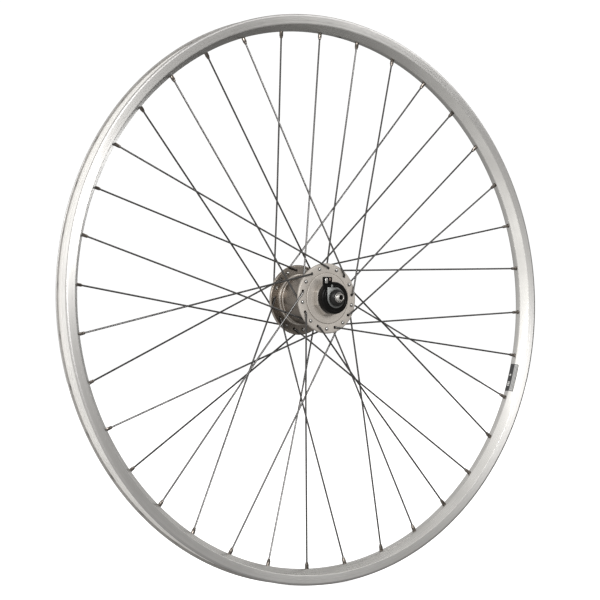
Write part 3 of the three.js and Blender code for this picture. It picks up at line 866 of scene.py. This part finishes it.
def make_locknuts():
    """Round black nut with a bare collar on the right, hexagon with a round collar on the left."""
    right = turned("right_nut", [
        (STEM, -43.8), (8.4, -43.8, 0.2), (8.6, -44.8, 0.3), (9.3, -45.4, 0.3), (9.3, -46.6, 0.7),
        (8.0, -48.0, 0.8), (6.2, -48.5, 0.2), (5.8, -48.5, 0.1), (5.7, -49.8, 0.2),
        (5.4, -50.0, 0.1), (4.95, -50.0, 0.1), (STEM, -49.8),
    ], 96)
    finish_piece(right, "axle_group", "black_nut", [black_nut, nut_steel], "right_locknut")
    collar_from = -48.6
    for p in right.data.polygons:
        _, y = face_place(p)
        p.material_index = 1 if y < collar_from else 0
    corner = 9.8
    hexagon = [(corner * math.cos(TAU * k / 6), corner * math.sin(TAU * k / 6)) for k in range(6)]
    left = slab("left_nut", fillet([(p, 0.5) for p in hexagon], 3), 44.3, 48.4, 0.35, 3)
    collar = turned("collar", [(2.0, 46.0), (8.4, 46.0), (8.4, 49.4, 0.3), (7.9, 50.0, 0.2),
                               (2.0, 50.0)], 96)
    combine(left, collar, "UNION")
    bore = drills("bore", [(Vector((0, 43, 0)), Vector((0, 52, 0)), STEM)], 64)
    combine(left, bore, "DIFFERENCE")
    finish_piece(left, "axle_group", "nut_steel", nut_steel, "left_locknut")


make_axle()
make_connector()
make_terminals()
make_lock_plate()
make_locknuts()

for node_name in ("right_claw_pole", "left_claw_pole"):
    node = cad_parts[node_name]
    node.data.materials.clear()
    node.data.materials.append(iron.mat)


# ---- floor, light and camera ----------------------------------------------------------------------
def make_floor():
    """Pale floor at the foot of the wheel."""
    size = 60.0
    level = -RIM_R * MM
    mesh = bpy.data.meshes.new("studio_floor")
    mesh.from_pydata([(-size, -size, level), (size, -size, level), (size, size, level),
                      (-size, size, level)], [], [(0, 1, 2, 3)])
    floor = bpy.data.objects.new("studio_floor", mesh)
    bpy.context.scene.collection.objects.link(floor)
    f = Finish("floor_white", 0.0, Roughness=0.8, Emission_Strength=0.75)
    f.mat.cycles.emission_sampling = "NONE"
    f.colour(f.blend(f.noise(0.8, 2.0), (0.90, 0.90, 0.90), (0.88, 0.88, 0.88)))
    f.bsdf.inputs["Emission Color"].default_value = (1, 1, 1, 1)
    mesh.materials.append(f.mat)
    floor.visible_glossy = False
    floor.visible_diffuse = False
    floor.visible_shadow = False


def studio_direction(azimuth, elevation):
    """Unit vector away from the hub. Azimuth 0 is straight in front, -Y, and 90 is +X."""
    a, e = math.radians(azimuth), math.radians(elevation)
    return Vector((math.sin(a) * math.cos(e), -math.cos(a) * math.cos(e), math.sin(e)))


def softbox(name, azimuth, elevation, distance, width, height, radiance):
    """Rectangular light of that radiance, looking at the hub. Distance and size are in metres."""
    towards = studio_direction(azimuth, elevation)
    data = bpy.data.lights.new(name, "AREA")
    data.shape = "RECTANGLE"
    data.size, data.size_y = width, height
    # Cycles gives an area light the radiance energy / (4 * area).
    data.energy = 4 * radiance * width * height
    light = bpy.data.objects.new(name, data)
    bpy.context.scene.collection.objects.link(light)
    light.location = towards * distance
    light.rotation_euler = (-towards).to_track_quat("-Z", "Y").to_euler()
    light.visible_camera = False


def make_world():
    """White to the eye. Reflections see a studio that is bright on the left and dim on the right."""
    world = bpy.data.worlds.new("studio")
    bpy.context.scene.world = world
    world.use_nodes = True
    tree = world.node_tree
    tree.nodes.clear()
    add = tree.nodes.new
    link = tree.links.new

    def ramp(value, stops):
        node = add("ShaderNodeValToRGB")
        link(value, node.inputs[0])
        marks = node.color_ramp.elements
        while len(marks) < len(stops):
            marks.new(0.5)
        for mark, (at, level) in zip(marks, stops):
            mark.position = at
            mark.color = (level, level, level, 1)
        return node.outputs["Color"]

    def calc(operation, a, b):
        node = add("ShaderNodeMath")
        node.operation = operation
        for socket, value in zip(node.inputs, (a, b)):
            if isinstance(value, bpy.types.NodeSocket):
                link(value, socket)
            else:
                socket.default_value = value
        return node.outputs[0]

    coord = add("ShaderNodeTexCoord").outputs["Generated"]
    part = add("ShaderNodeSeparateXYZ")
    link(coord, part.inputs[0])
    facing = add("ShaderNodeVectorMath")
    facing.operation = "DOT_PRODUCT"
    link(coord, facing.inputs[0])
    facing.inputs[1].default_value = studio_direction(-65, 5)
    left = calc("MULTIPLY_ADD", facing.outputs["Value"], 0.5)
    left.node.inputs[2].default_value = 0.5
    side = ramp(left, ((0.0, 0.16), (0.2, 0.20), (0.5, 0.40), (0.72, 0.62), (0.85, 0.88),
                       (1.0, 1.2)))
    above = ramp(part.outputs[2], ((0.0, 0.0), (0.12, 0.22), (0.35, 0.40), (1.0, 0.5)))
    level = calc("ADD", side, calc("MULTIPLY", above, calc("SUBTRACT", 1.0, left)))
    walls = add("ShaderNodeBackground")
    link(level, walls.inputs[1])
    walls.inputs[0].default_value = (1.0, 0.99, 0.975, 1)
    white = add("ShaderNodeBackground")
    white.inputs[0].default_value = (1, 1, 1, 1)
    white.inputs[1].default_value = 1.05
    eye = add("ShaderNodeLightPath")
    pick = add("ShaderNodeMixShader")
    link(eye.outputs["Is Camera Ray"], pick.inputs[0])
    link(walls.outputs[0], pick.inputs[1])
    link(white.outputs[0], pick.inputs[2])
    out = add("ShaderNodeOutputWorld")
    link(pick.outputs[0], out.inputs[0])


def make_camera():
    """Sees the connector side from the left and slightly from below. focal is in pixels."""
    image_width = 600
    sensor_mm = 36
    azimuth = math.radians(-34.56)
    elevation = math.radians(-2.1607)
    distance = 2258.6
    across = 14.95
    up_shift = 1.02
    focal = 2023.7
    back = Vector((math.sin(azimuth) * math.cos(elevation),
                   -math.cos(azimuth) * math.cos(elevation), math.sin(elevation)))
    right = Vector((math.cos(azimuth), math.sin(azimuth), 0))
    up = back.cross(right)
    data = bpy.data.cameras.new("camera")
    data.lens = focal * sensor_mm / image_width
    data.sensor_width = sensor_mm
    data.clip_start = 0.05
    data.clip_end = 200
    camera = bpy.data.objects.new("camera", data)
    bpy.context.scene.collection.objects.link(camera)
    camera.location = (back * distance - right * across - up * up_shift) * MM
    camera.rotation_euler = (-back).to_track_quat("-Z", "Y").to_euler()
    bpy.context.scene.camera = camera


make_floor()
make_world()
softbox("key_softbox", 5, 12, 2.8, 0.8, 0.6, 12.0)
softbox("side_softbox", -36, 19, 2.8, 1.6, 1.0, 3.2)
softbox("top_softbox", 50, 32, 2.8, 1.3, 1.1, 1.8)
softbox("back_strip", 126, -2.5, 3.0, 1.0, 0.25, 1.6)
make_camera()
bpy.context.scene.view_settings.view_transform = "Standard"
bpy.context.scene.view_settings.look = "None"
